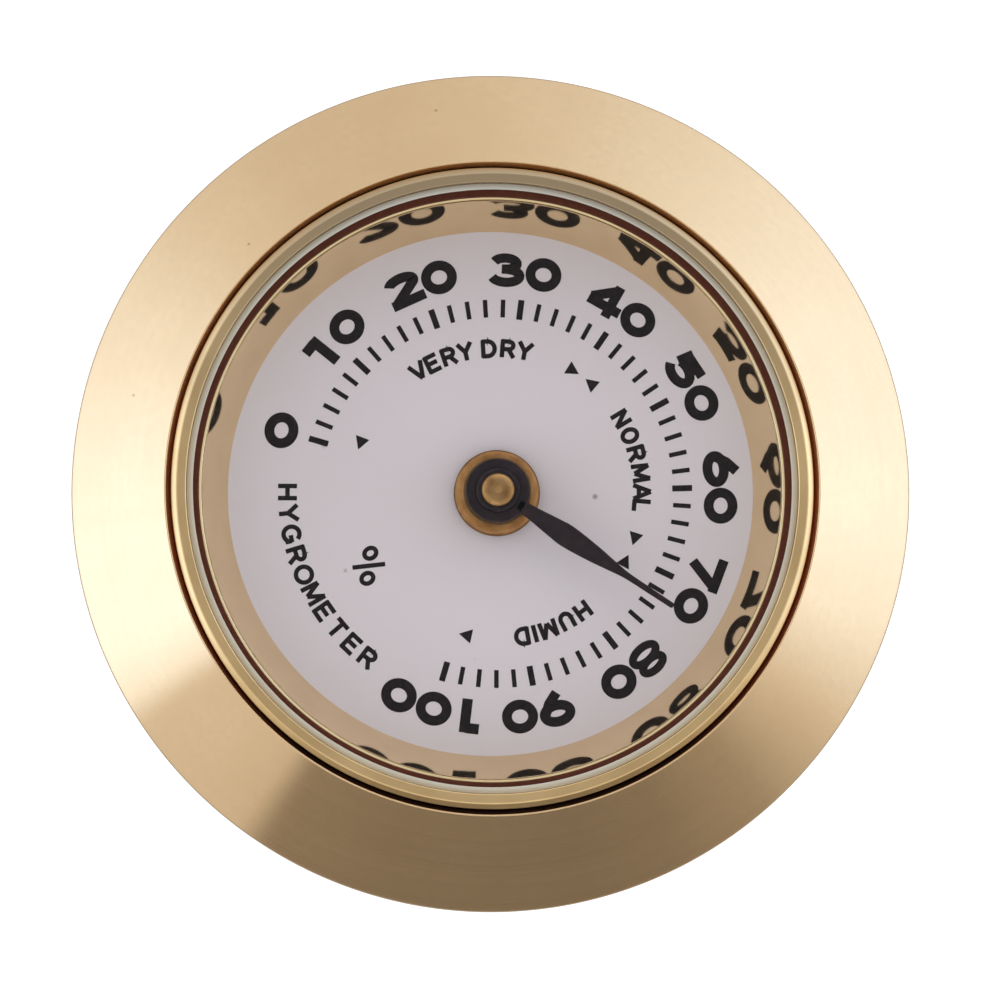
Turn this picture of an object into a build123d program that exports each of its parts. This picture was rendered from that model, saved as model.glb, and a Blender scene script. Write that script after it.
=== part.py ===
"""Dial hygrometer with a gold bezel, a mirror-bright reflector and a coil movement. Millimetres.

The part lies on its back: the back face is z = 0, the dial looks up along +Z, and its 50 % mark
points to +Y. The Z axis is the axis of the case. The dial and its movement turn about an axis of
their own, a little off that of the case.
"""

import os
from math import cos, radians, sin

from build123d import *

# Case and panel fit
CASE_RADIUS = 16.25
CASE_WALL = 0.65
CASE_FLOOR = 0.8
CASE_EDGE = 0.4
CASE_TOP = 7.0
CASE_RIM_RADIUS = 16.0
CASE_RIM_BOTTOM = 6.5
VENT_COUNT = 8
VENT_LENGTH = 5.0
VENT_WIDTH = 1.2
VENT_RING = 9.6
RECESS_RADIUS = 3.6
RECESS_DEPTH = 0.7

# Bezel
BEZEL_RADIUS = 18.5
FLANGE_SEAT = 6.8
FLANGE_EDGE_TOP = 7.45
FRONT = 10.9
RIM_RADIUS = 14.32
BEZEL_BORE = 14.1
MOUTH_DEPTH = 0.45
SLEEVE_BOTTOM = 5.2
LEDGE_RADIUS = 12.9
SOFT_EDGE = 0.15

# Dial, held between the ledge and the reflector
DIAL_RADIUS = 13.75
DIAL_BOTTOM = 5.9
DIAL_TOP = 6.4

# The dial and its movement sit off the centre of the case by this much, in this direction
MOVEMENT_OFFSET = 0.27
MOVEMENT_DIRECTION = 61.3

# Reflector ring, a conical wall with a flat lip
REFLECTOR_BOTTOM_RADIUS = 11.61
REFLECTOR_TOP_RADIUS = 12.74
REFLECTOR_TOP = 9.3
REFLECTOR_WALL = 0.35
REFLECTOR_LIP_RADIUS = 14.05

# Gasket, lens and retaining ring, stacked on the reflector's lip
GASKET_INNER = 12.86
GASKET_TOP = 9.45
LENS_RADIUS = 14.0
LENS_SHOULDER_RADIUS = 13.38
LENS_FACE_RADIUS = 13.1
LENS_SHOULDER = 10.3
LENS_BEVEL_BOTTOM = 10.55
LENS_TOP = 10.75
RING_INNER = 13.4
RING_OUTER = 14.06
RING_TOP = 10.9
RING_BEVEL_WIDTH = 0.24
RING_BEVEL_DROP = 0.18

# Dial bush, its washer and its nut
BUSH_RADIUS = 1.9
BUSH_TOP = 7.8
BUSH_CHAMFER = 0.3
SHANK_RADIUS = 1.25
SHANK_BOTTOM = 4.6
BUSH_BORE = 0.76
BUSH_WASHER_RADIUS = 2.6
BUSH_WASHER_THICKNESS = 0.3
NUT_ACROSS_FLATS = 4.0
NUT_THICKNESS = 0.9

# Arbor, running in the bush above and in the adjuster below
ARBOR_RADIUS = 0.725
ARBOR_TOP = 9.05
ARBOR_SHOULDER = 2.6
PIVOT_RADIUS = 0.35
PIVOT_BOTTOM = 1.4
ARBOR_WASHER_RADIUS = 1.15
ARBOR_WASHER_THICKNESS = 0.2

# Pointer and its boss
READING = 73
DEGREES_PER_PERCENT = 2.7
POINTER_LENGTH = 9.25
POINTER_NECK_WIDTH = 0.5
POINTER_WIDEST = 1.0
POINTER_WIDEST_AT = 4.0
POINTER_SLIM_WIDTH = 0.4
POINTER_SLIM_AT = 6.6
POINTER_TIP_WIDTH = 0.22
POINTER_THICKNESS = 0.2
BOSS_RADIUS = 1.4
BOSS_STEP_RADIUS = 0.97
BOSS_BOTTOM = 7.95
BOSS_STEP = 8.35
BOSS_TOP = 8.8

# Humidity coil, a flat strip wound in half circles about the collet
COLLET_RADIUS = 1.6
COLLET_HEIGHT = 1.6
STRIP_THICKNESS = 0.15
STRIP_HEIGHT = 1.3
STRIP_BOTTOM = 2.75
COIL_PITCH = 1.05
COIL_HALF_TURNS = 12
COIL_TAIL = 0.9

# Adjuster: a slotted screw in the back, and the arm that holds the coil's outer end
SCREW_HEAD_RADIUS = 2.6
SCREW_HEAD_BOTTOM = 0.1
SCREW_SLOT_WIDTH = 0.7
SCREW_SLOT_DEPTH = 0.35
SCREW_RADIUS = 1.5
SCREW_TOP = 2.45
SCREW_CLEARANCE = 0.05
PIVOT_HOLE_RADIUS = 0.4
PIVOT_HOLE_BOTTOM = 1.25
FRICTION_WASHER_RADIUS = 2.8
FRICTION_WASHER_THICKNESS = 0.4
ARM_THICKNESS = 0.5
ARM_HUB_RADIUS = 2.4
ARM_WIDTH = 1.8
STUD_RADIUS = 0.6
STUD_TOP = 4.3
STUD_SLOT = 0.35

# Worked out from the sizes above
MOVEMENT_X = MOVEMENT_OFFSET * cos(radians(MOVEMENT_DIRECTION))
MOVEMENT_Y = MOVEMENT_OFFSET * sin(radians(MOVEMENT_DIRECTION))
CASE_BORE = CASE_RADIUS - CASE_WALL
RECESS_TOP = RECESS_DEPTH + CASE_FLOOR
WASHER_TOP = RECESS_TOP + FRICTION_WASHER_THICKNESS
ARM_TOP = WASHER_TOP + ARM_THICKNESS
COLLET_TOP = ARBOR_SHOULDER + COLLET_HEIGHT
BUSH_WASHER_BOTTOM = DIAL_BOTTOM - BUSH_WASHER_THICKNESS
COIL_INNER_RADIUS = COLLET_RADIUS + STRIP_THICKNESS / 2
COIL_END = COIL_INNER_RADIUS + COIL_HALF_TURNS * COIL_PITCH / 2
POINTER_ANGLE = 90 - (READING - 50) * DEGREES_PER_PERCENT


def turned(*outline, radius=0):
    """A solid of revolution about Z, from the (radius, height) corners of its section."""
    with BuildPart() as body:
        with BuildSketch(Plane.XZ):
            with BuildLine():
                FilletPolyline(*outline, radius=radius, close=True)
            make_face()
        revolve(axis=Axis.Z)
    return body.part


def tube(outer, inner, bottom, top):
    """A plain ring or washer about Z."""
    return turned((inner, bottom), (outer, bottom), (outer, top), (inner, top))


def disc(radius, bottom, top):
    """A plain cylinder about Z."""
    upright = (Align.CENTER, Align.CENTER, Align.MIN)
    return Pos(0, 0, bottom) * Cylinder(radius, top - bottom, align=upright)


def bezel():
    """Flange, cone and sleeve in one piece, with a ledge for the dial and a groove for the case's rim."""
    corners = {
        (LEDGE_RADIUS, SLEEVE_BOTTOM): 0,
        (CASE_BORE, SLEEVE_BOTTOM): SOFT_EDGE,
        (CASE_BORE, CASE_TOP): 0,
        (CASE_RADIUS, CASE_TOP): 0,
        (CASE_RADIUS, FLANGE_SEAT): 0,
        (BEZEL_RADIUS, FLANGE_SEAT): SOFT_EDGE,
        (BEZEL_RADIUS, FLANGE_EDGE_TOP): SOFT_EDGE,
        (RIM_RADIUS, FRONT): SOFT_EDGE / 3,
        (BEZEL_BORE, FRONT - MOUTH_DEPTH): 0,
        (BEZEL_BORE, DIAL_BOTTOM): 0,
        (LEDGE_RADIUS, DIAL_BOTTOM): 0,
    }
    return turned(*corners, radius=corners.values())


def case_cup():
    """Moulded cup with vent slots and a central recess for the adjuster."""
    boss_radius = RECESS_RADIUS + CASE_FLOOR
    cup = turned(
        (0, RECESS_DEPTH),
        (RECESS_RADIUS, RECESS_DEPTH),
        (RECESS_RADIUS, 0),
        (CASE_RADIUS - CASE_EDGE, 0),
        (CASE_RADIUS, CASE_EDGE),
        (CASE_RADIUS, CASE_RIM_BOTTOM),
        (CASE_RIM_RADIUS, CASE_RIM_BOTTOM),
        (CASE_RIM_RADIUS, CASE_TOP),
        (CASE_BORE, CASE_TOP),
        (CASE_BORE, CASE_FLOOR),
        (boss_radius, CASE_FLOOR),
        (boss_radius, RECESS_TOP),
        (0, RECESS_TOP),
    )
    with BuildPart() as vents:
        with BuildSketch():
            with PolarLocations(VENT_RING, VENT_COUNT, start_angle=180 / VENT_COUNT):
                SlotOverall(VENT_LENGTH, VENT_WIDTH)
        extrude(amount=CASE_FLOOR)
    # The adjuster's bore is on the movement's axis
    bore = Pos(MOVEMENT_X, MOVEMENT_Y) * disc(SCREW_RADIUS + SCREW_CLEARANCE, RECESS_DEPTH, RECESS_TOP)
    return cup - vents.part - bore


def reflector_ring():
    """Thin spun ring: a conical mirror wall under a flat lip."""
    lip_bottom = REFLECTOR_TOP - REFLECTOR_WALL
    return turned(
        (REFLECTOR_BOTTOM_RADIUS, DIAL_TOP),
        (REFLECTOR_BOTTOM_RADIUS + REFLECTOR_WALL, DIAL_TOP),
        (REFLECTOR_TOP_RADIUS + REFLECTOR_WALL, lip_bottom),
        (REFLECTOR_LIP_RADIUS, lip_bottom),
        (REFLECTOR_LIP_RADIUS, REFLECTOR_TOP),
        (REFLECTOR_TOP_RADIUS, REFLECTOR_TOP),
    )


def lens_gasket():
    return tube(LENS_RADIUS, GASKET_INNER, REFLECTOR_TOP, GASKET_TOP)


def lens():
    """Flat glass with a ground bevel, and a shoulder under the retaining ring."""
    return turned(
        (0, GASKET_TOP),
        (LENS_RADIUS, GASKET_TOP),
        (LENS_RADIUS, LENS_SHOULDER),
        (LENS_SHOULDER_RADIUS, LENS_SHOULDER),
        (LENS_SHOULDER_RADIUS, LENS_BEVEL_BOTTOM),
        (LENS_FACE_RADIUS, LENS_TOP),
        (0, LENS_TOP),
    )


def retaining_ring():
    """Bevelled ring pressed into the bezel over the edge of the glass."""
    corners = {
        (RING_INNER, LENS_SHOULDER): 0,
        (RING_OUTER, LENS_SHOULDER): 0,
        (RING_OUTER, RING_TOP - RING_BEVEL_DROP): SOFT_EDGE / 3,
        (RING_OUTER - RING_BEVEL_WIDTH, RING_TOP): SOFT_EDGE,
        (RING_INNER, RING_TOP): SOFT_EDGE / 3,
    }
    return turned(*corners, radius=corners.values())


def dial_plate():
    return tube(DIAL_RADIUS, SHANK_RADIUS, DIAL_BOTTOM, DIAL_TOP)


def dial_bush():
    """Brass bearing: a chamfered collar over the dial and a shank through it."""
    return turned(
        (BUSH_BORE, SHANK_BOTTOM),
        (SHANK_RADIUS, SHANK_BOTTOM),
        (SHANK_RADIUS, DIAL_TOP),
        (BUSH_RADIUS, DIAL_TOP),
        (BUSH_RADIUS, BUSH_TOP - BUSH_CHAMFER),
        (BUSH_RADIUS - BUSH_CHAMFER, BUSH_TOP),
        (BUSH_BORE, BUSH_TOP),
    )


def bush_washer():
    return tube(BUSH_WASHER_RADIUS, SHANK_RADIUS, BUSH_WASHER_BOTTOM, DIAL_BOTTOM)


def bush_nut():
    """Hexagon nut that clamps the dial to its bush."""
    with BuildPart() as nut:
        with BuildSketch(Plane.XY.offset(BUSH_WASHER_BOTTOM - NUT_THICKNESS)):
            RegularPolygon(NUT_ACROSS_FLATS / 2, 6, major_radius=False)
            Circle(SHANK_RADIUS, mode=Mode.SUBTRACT)
        extrude(amount=NUT_THICKNESS)
    return nut.part


def arbor():
    """Pointer shaft, stepped down to a pivot at its lower end."""
    return turned(
        (0, PIVOT_BOTTOM),
        (PIVOT_RADIUS, PIVOT_BOTTOM),
        (PIVOT_RADIUS, ARBOR_SHOULDER),
        (ARBOR_RADIUS, ARBOR_SHOULDER),
        (ARBOR_RADIUS, ARBOR_TOP),
        (0, ARBOR_TOP),
    )


def arbor_washer():
    return tube(ARBOR_WASHER_RADIUS, ARBOR_RADIUS, COLLET_TOP, COLLET_TOP + ARBOR_WASHER_THICKNESS)


def coil_collet():
    return tube(COLLET_RADIUS, ARBOR_RADIUS, ARBOR_SHOULDER, COLLET_TOP)


def pointer_boss():
    """Black hub pressed on the arbor, stepped to locate the pointer."""
    return turned(
        (ARBOR_RADIUS, BOSS_BOTTOM),
        (BOSS_RADIUS, BOSS_BOTTOM),
        (BOSS_RADIUS, BOSS_STEP),
        (BOSS_STEP_RADIUS, BOSS_STEP),
        (BOSS_STEP_RADIUS, BOSS_TOP),
        (ARBOR_RADIUS, BOSS_TOP),
    )


def pointer():
    """Leaf-shaped blade on a ring, set at the reading."""
    half_outline = [
        (BOSS_STEP_RADIUS + POINTER_THICKNESS, POINTER_NECK_WIDTH / 2),
        (POINTER_WIDEST_AT, POINTER_WIDEST / 2),
        (POINTER_SLIM_AT, POINTER_SLIM_WIDTH / 2),
        (POINTER_LENGTH, POINTER_TIP_WIDTH / 2),
    ]
    other_half = [(along, -across) for along, across in reversed(half_outline)]
    with BuildPart() as blade:
        with BuildSketch(Plane.XY.offset(BOSS_STEP)):
            with BuildLine():
                Spline(*half_outline)
                Line(half_outline[-1], other_half[0])
                Spline(*other_half)
                Line(other_half[-1], half_outline[0])
            make_face()
            Circle(BOSS_RADIUS)
            Circle(BOSS_STEP_RADIUS, mode=Mode.SUBTRACT)
        extrude(amount=POINTER_THICKNESS)
    return Rot(0, 0, POINTER_ANGLE) * blade.part


def humidity_coil():
    """Moisture-sensitive strip, wound in half circles from the collet out to the stud."""
    with BuildPart() as coil:
        for half_turn in range(COIL_HALF_TURNS):
            radius = COIL_INNER_RADIUS + half_turn * COIL_PITCH / 2
            lower_half = half_turn % 2 == 0
            centre_x = 0 if lower_half else -COIL_PITCH / 2
            with BuildSketch(Plane((centre_x, 0, STRIP_BOTTOM))):
                Circle(radius + STRIP_THICKNESS / 2)
                Circle(radius - STRIP_THICKNESS / 2, mode=Mode.SUBTRACT)
                keep = (Align.CENTER, Align.MAX if lower_half else Align.MIN)
                Rectangle(3 * radius, 2 * radius, align=keep, mode=Mode.INTERSECT)
            extrude(amount=STRIP_HEIGHT)
        with BuildSketch(Plane((-COIL_END, 0, STRIP_BOTTOM))):
            Rectangle(STRIP_THICKNESS, COIL_TAIL, align=(Align.CENTER, Align.MAX))
        extrude(amount=STRIP_HEIGHT)
    return coil.part


def anchor_stud():
    """Slotted post on the arm. The coil's outer end lies in its slot."""
    post = Pos(-COIL_END, 0) * disc(STUD_RADIUS, ARM_TOP, STUD_TOP)
    slot_place = Pos(-COIL_END - STRIP_THICKNESS / 2, 0, STRIP_BOTTOM)
    slot_align = (Align.MIN, Align.CENTER, Align.MIN)
    slot = slot_place * Box(STUD_SLOT, 4 * STUD_RADIUS, STUD_TOP, align=slot_align)
    return post - slot


def anchor_wedge():
    """Small wedge that jams the coil's end in the slot."""
    place = Pos(-COIL_END + STRIP_THICKNESS / 2, 0, STRIP_BOTTOM)
    size = (STUD_SLOT - STRIP_THICKNESS, STUD_RADIUS, STRIP_HEIGHT)
    return place * Box(*size, align=(Align.MIN, Align.CENTER, Align.MIN))


def adjuster_screw():
    """Slotted head in the recess, with a blind hole above for the arbor's pivot."""
    screw = turned(
        (0, SCREW_HEAD_BOTTOM),
        (SCREW_HEAD_RADIUS, SCREW_HEAD_BOTTOM),
        (SCREW_HEAD_RADIUS, RECESS_DEPTH),
        (SCREW_RADIUS, RECESS_DEPTH),
        (SCREW_RADIUS, SCREW_TOP),
        (PIVOT_HOLE_RADIUS, SCREW_TOP),
        (PIVOT_HOLE_RADIUS, PIVOT_HOLE_BOTTOM),
        (0, PIVOT_HOLE_BOTTOM),
    )
    slot_align = (Align.CENTER, Align.CENTER, Align.MAX)
    slot_place = Pos(0, 0, SCREW_HEAD_BOTTOM + SCREW_SLOT_DEPTH)
    slot = slot_place * Box(3 * SCREW_HEAD_RADIUS, SCREW_SLOT_WIDTH, 1, align=slot_align)
    return screw - slot


def friction_washer():
    return tube(FRICTION_WASHER_RADIUS, SCREW_RADIUS, RECESS_TOP, WASHER_TOP)


def adjuster_arm():
    """Flat arm from the screw out to the anchor stud."""
    with BuildPart() as arm:
        with BuildSketch(Plane.XY.offset(WASHER_TOP)):
            with Locations((-COIL_END / 2, 0)):
                SlotCenterToCenter(COIL_END, ARM_WIDTH)
            Circle(ARM_HUB_RADIUS)
            Circle(SCREW_RADIUS, mode=Mode.SUBTRACT)
        extrude(amount=ARM_THICKNESS)
    return arm.part


# Pieces on the case's axis, and pieces on the movement's axis
CASE_PIECES = [bezel, case_cup, reflector_ring, lens_gasket, lens, retaining_ring]
MOVEMENT_PIECES = [
    dial_plate,
    dial_bush,
    bush_washer,
    bush_nut,
    arbor,
    arbor_washer,
    coil_collet,
    pointer_boss,
    pointer,
    humidity_coil,
    anchor_stud,
    anchor_wedge,
    adjuster_screw,
    friction_washer,
    adjuster_arm,
]


def write(shape, name):
    """One STEP file per piece, named after it."""
    shape.label = name
    export_step(shape, f"parts/{name}.step")


os.makedirs("parts", exist_ok=True)
for piece in CASE_PIECES:
    write(piece(), piece.__name__)
for piece in MOVEMENT_PIECES:
    write(Pos(MOVEMENT_X, MOVEMENT_Y) * piece(), piece.__name__)
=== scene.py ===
"""The looks of a dial hygrometer: satin bezel, mirror reflector, printed dial, glass and pointer.

Lengths named here are in millimetres and become metres in the meshes. The dial's angles are in
degrees, anticlockwise from +X.
"""

from math import cos, hypot, pi, radians, sin, tan

import bmesh
import bpy
from mathutils import Matrix, Vector


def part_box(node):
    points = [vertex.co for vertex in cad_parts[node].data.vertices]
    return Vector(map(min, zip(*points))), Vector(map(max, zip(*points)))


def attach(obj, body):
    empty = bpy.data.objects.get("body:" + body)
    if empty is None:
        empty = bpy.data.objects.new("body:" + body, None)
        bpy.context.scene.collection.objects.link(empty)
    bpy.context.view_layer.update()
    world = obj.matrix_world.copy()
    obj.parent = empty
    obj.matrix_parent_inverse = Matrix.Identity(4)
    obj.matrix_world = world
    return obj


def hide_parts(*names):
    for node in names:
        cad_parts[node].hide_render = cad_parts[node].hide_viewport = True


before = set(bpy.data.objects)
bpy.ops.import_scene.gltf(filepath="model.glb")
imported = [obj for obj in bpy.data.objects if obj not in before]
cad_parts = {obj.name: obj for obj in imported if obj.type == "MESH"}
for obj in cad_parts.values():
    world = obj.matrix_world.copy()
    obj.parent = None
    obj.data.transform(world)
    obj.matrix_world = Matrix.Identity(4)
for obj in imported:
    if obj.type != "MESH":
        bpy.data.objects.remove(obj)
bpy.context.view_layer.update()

MM = 0.001

# ---------------------------------------------------------------- places read from the frame


def extent(node):
    """Lowest and highest corner of a CAD node, in millimetres."""
    low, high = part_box(node)
    return low / MM, high / MM


bezel_low, bezel_high = extent("bezel")
case_high = extent("case_cup")[1]
ring_low, ring_high = extent("retaining_ring")
lens_low, lens_high = extent("lens")
gasket_low, gasket_high = extent("lens_gasket")
reflector_low, reflector_high = extent("reflector_ring")
dial_low, dial_high = extent("dial_plate")
bush_low, bush_high = extent("dial_bush")
boss_low, boss_high = extent("pointer_boss")
arbor_low, arbor_high = extent("arbor")
blade_low, blade_high = extent("pointer")
MOVEMENT = (dial_low + dial_high) / 2

# ---------------------------------------------------------------- sizes of the visible details

# How far the object is turned about its axis in its picture
PHOTO_ROLL = 61.3

# Faces round a turned piece: a large one, a small one and the thin pin
SEGMENTS = 384
HUB_SEGMENTS = 192
PIN_SEGMENTS = 128
# How close the points that hold smooth shading stand to an outline's corners
HOLD = 0.02
# Depth of the turning marks
GROOVE_DEPTH = 0.0004

# Bezel section
FLANGE_SEAT = 6.8
FLANGE_EDGE_TOP = 7.45
RIM_RADIUS = 14.32
BEZEL_BORE = 14.1
MOUTH_DEPTH = 0.45
LEDGE_RADIUS = 12.9
SLEEVE_RADIUS = 15.6
EDGE_ROUND = 0.15
SMALL_ROUND = 0.05

# Lens bevel, retaining ring's bevel (width, drop), reflector wall
LENS_SHOULDER_RADIUS = 13.38
LENS_FACE_RADIUS = 13.1
LENS_SHOULDER = 10.3
LENS_BEVEL_BOTTOM = 10.55
RING_BEVEL = (0.24, 0.18)
REFLECTOR_BOTTOM_RADIUS = 11.61
REFLECTOR_TOP_RADIUS = 12.74
REFLECTOR_WALL = 0.35
LIP_ROUND = 0.18
RING_CLEARANCE = 0.02
RING_ROUND = 0.13

# Collar in the middle of the dial: shank, bore, foot, chamfers
SHANK_RADIUS = 1.25
BUSH_BORE_RADIUS = 0.76
FOOT_EDGE = 0.35
FOOT_HEIGHT = 0.45
FOOT_STEP = 0.12
COLLAR_CHAMFER_WIDTH = 0.26
COLLAR_CHAMFER_DROP = 0.28

# Arbor: pivot, shoulder, crowned end and centre mark
PIVOT_RADIUS = 0.35
SHOULDER_HEIGHT = 2.6
CROWN_WIDTH = 0.12
CROWN_DROP = 0.06
CENTRE_MARK_RADIUS = 0.16
CENTRE_MARK_DEPTH = 0.07

# Dial print
PERCENT_AT_TOP = 50
DEGREES_PER_PERCENT = 2.7
INK = 0.006
INK_LAYER = 0.001
TICK_RING = 8.21
TICK_STEP = 2
# Length and width of a tick
THIN_TICK = (0.79, 0.2)
BOLD_TICK = (0.88, 0.27)
NUMERAL_RING = 9.92
NUMERAL_HEIGHT = 1.5
NUMERAL_WIDTH = 1.6
# Stroke widths of the figures that aren't drawn with the usual one
NUMERAL_STROKES = {"0": 0.44, "1": 0.46, "3": 0.42, "8": 0.36}
NUMERAL_STROKE = 0.44
NUMERAL_PITCH = 9.5
ZONE_RING = 6.43
ZONE_HEIGHT = 0.78
ZONE_STROKE = 0.2
# Room of a broad letter in the zone words, in degrees, and the shares of it for others and for a space
LETTER_ROOM = 7.5
ROOM_SHARES = {"M": 1.1, "A": 0.9, "E": 0.85, "V": 0.85, "Y": 0.8, "L": 0.6, "I": 0.4, " ": 0.35}
TITLE_RING = 9.25
TITLE_HEIGHT = 0.84
TITLE_STROKE = 0.2
TITLE_START = 241.0
TITLE_PITCH = 5.81
ARROW_RING = 6.42
ARROW_SIDE = 0.64
PERCENT_SIGN_RING = 6.5
PERCENT_SIGN_ANGLE = 270.9
PERCENT_SIGN_SIZE = (1.5, 1.0)

# Grime and painted shade in the groove round the retaining ring: how ragged its edge is, and how far it
# stays below the rim on the highest side
GRIME_AND_SHADE_RAGGED = 0.05
GRIME_AND_SHADE_TOP_GAP = 0.17
# Dirt and painted shade on the brass in the middle, as (share of the outer radius, cleanness). The collar is
# darker next to the pointer's boss and at its outer edge; the pin is darker over its middle and at its rim.
COLLAR_BANDS = ((0.72, 0.15), (0.80, 0.5), (0.91, 0.85), (0.96, 0.9), (0.985, 0.25))
PIN_BANDS = ((0.0, 0.6), (0.6, 0.55), (0.8, 0.95), (0.9, 0.9), (0.99, 0.3))

# Pointer
READING = 73
POINTER_LENGTH = 9.25
# Half widths of the blade, as (distance from the middle, half width)
BLADE_STATIONS = (
    (1.1, 0.25), (2.0, 0.33), (3.0, 0.45), (3.7, 0.5), (5.0, 0.39), (6.0, 0.25), (6.8, 0.15), (8.0, 0.13),
)
TIP_HALF_WIDTH = 0.12
BLADE_BEVEL = 0.05
BOSS_STEP_RADIUS = 0.97

# ---------------------------------------------------------------- mesh helpers


def rounded(corners, radii, steps=6):
    """The outline through corners, with each corner replaced by an arc of its radius."""
    outline = []
    count = len(corners)
    for i, corner in enumerate(corners):
        here = Vector(corner)
        before = Vector(corners[i - 1]) - here
        after = Vector(corners[(i + 1) % count]) - here
        radius = radii[i] if radii else 0
        if radius == 0:
            outline.append(here)
            continue
        half = before.angle(after) / 2
        tangent = radius / tan(half)
        start = here + before.normalized() * tangent
        end = here + after.normalized() * tangent
        centre = here + (before.normalized() + after.normalized()).normalized() * (radius / sin(half))
        first = start - centre
        sweep = first.angle_signed(end - centre)
        for step in range(steps + 1):
            turned = first.copy()
            turned.rotate(Matrix.Rotation(-sweep * step / steps, 2))
            outline.append(centre + turned)
    return outline


def finished_mesh(name, vertices, faces, sharp=35):
    """A mesh object from points in millimetres, smooth except at edges sharper than the angle."""
    mesh = bpy.data.meshes.new(name)
    mesh.from_pydata([Vector(v) * MM for v in vertices], [], faces)
    mesh.validate()
    shell = bmesh.new()
    shell.from_mesh(mesh)
    bmesh.ops.recalc_face_normals(shell, faces=shell.faces)
    shell.to_mesh(mesh)
    shell.free()
    mesh.shade_smooth()
    mesh.set_sharp_from_angle(angle=radians(sharp))
    piece = bpy.data.objects.new(name, mesh)
    bpy.context.scene.collection.objects.link(piece)
    return piece


def held(outline):
    """The outline with a point close to each end of its long sides, so that smooth shading stays local."""
    points = [Vector(point) for point in outline]
    result = []
    for start, end in zip(points, points[1:] + points[:1]):
        result.append(start)
        if (end - start).length > 4 * HOLD:
            step = (end - start).normalized() * HOLD
            result += [start + step, end - step]
    return result


def lathe(name, outline, axis=(0, 0), segments=SEGMENTS, sharp=35):
    """A closed outline of (radius, height) points turned about a vertical axis."""
    vertices, faces, rows = [], [], []
    for radius, height in held(outline):
        if radius < 1e-6:
            rows.append([len(vertices)] * segments)
            vertices.append((axis[0], axis[1], height))
            continue
        rows.append(list(range(len(vertices), len(vertices) + segments)))
        for i in range(segments):
            angle = 2 * pi * i / segments
            vertices.append((axis[0] + radius * cos(angle), axis[1] + radius * sin(angle), height))
    for row, following in zip(rows, rows[1:] + rows[:1]):
        for i in range(segments):
            j = (i + 1) % segments
            corners = dict.fromkeys((row[i], row[j], following[j], following[i]))
            if len(corners) > 2:
                faces.append(tuple(corners))
    return finished_mesh(name, vertices, faces, sharp)


def dress(piece, material, body, *nodes):
    """Gives a piece its material and its body, and the CAD nodes that it stands for."""
    piece.data.materials.append(material)
    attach(piece, body)
    if nodes:
        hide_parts(*nodes)
    return piece


# ---------------------------------------------------------------- material helpers


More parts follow.
